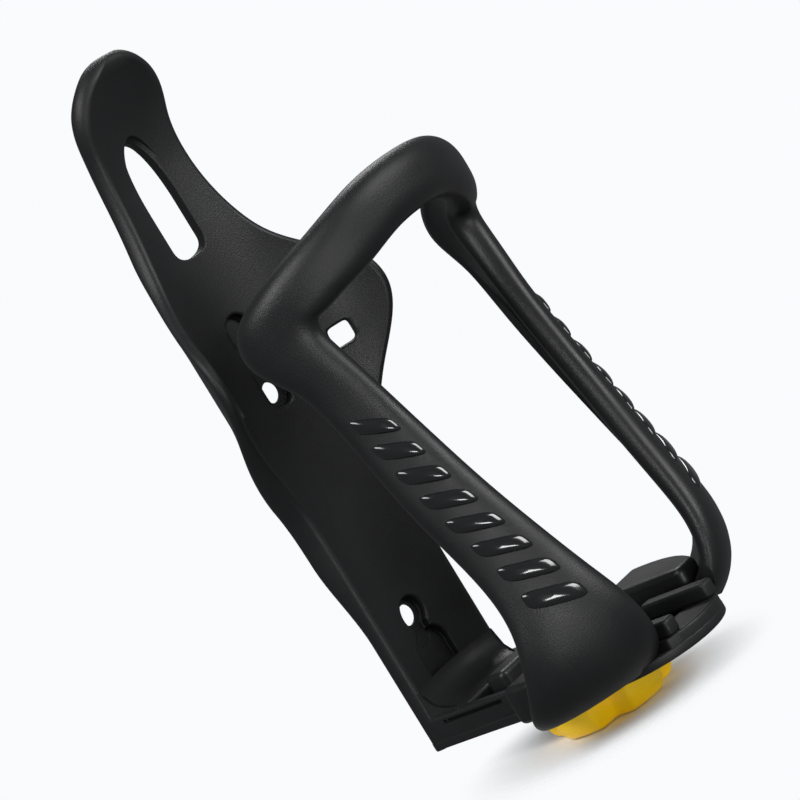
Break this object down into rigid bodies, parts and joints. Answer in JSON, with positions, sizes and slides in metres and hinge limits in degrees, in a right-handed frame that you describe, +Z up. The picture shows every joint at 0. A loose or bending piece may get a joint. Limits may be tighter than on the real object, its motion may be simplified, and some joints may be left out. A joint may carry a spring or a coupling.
{
  "type": "bottle cage",
  "caption": "Adjustable moulded bottle cage: concave back plate with a curled tongue, a sliding front loop and a knob under the base that drives it.",
  "frame": {"origin": "on the flat rear face that meets the frame, midway between the two frame bolts", "axes": "+Z up along the bottle and the cage's length, -Y forward from the frame to the bottle, X across the cage"},
  "size_m": [0.0922, 0.083, 0.1942],
  "materials": {
    "body_plastic": "fine moulded grain, black",
    "loop_plastic": "fine moulded grain, black",
    "knob_plastic": "smooth yellow moulding",
    "gear_plastic": "natural acetal",
    "screw_steel": "plated",
    "washer_steel": "plated",
    "washer_plastic": "natural nylon"
  },
  "bodies": {
    "cage": {"cage_body": "body_plastic"},
    "loop": {"front_loop": "loop_plastic"},
    "adjuster": {"adjuster_knob": "knob_plastic", "drive_gear": "gear_plastic", "knob_screw": "screw_steel", "screw_washer": "washer_steel", "thrust_washer": "washer_plastic"}
  },
  "joints": [
    {"name": "loop_slide", "type": "slide", "parent": "cage", "child": "loop", "axis": [0, -1, 0], "range_m": [-0.0025, 0.0075]},
    {"name": "knob_turn", "type": "hinge", "parent": "cage", "child": "adjuster", "pos_m": [0, -0.0443, -0.0627], "axis": [0, 0, -1], "range_deg": [-24.5, 72.5]}
  ],
  "couplings": [
    {"joint": "knob_turn", "follows": "loop_slide", "rad_per_m": 166.67}
  ]
}
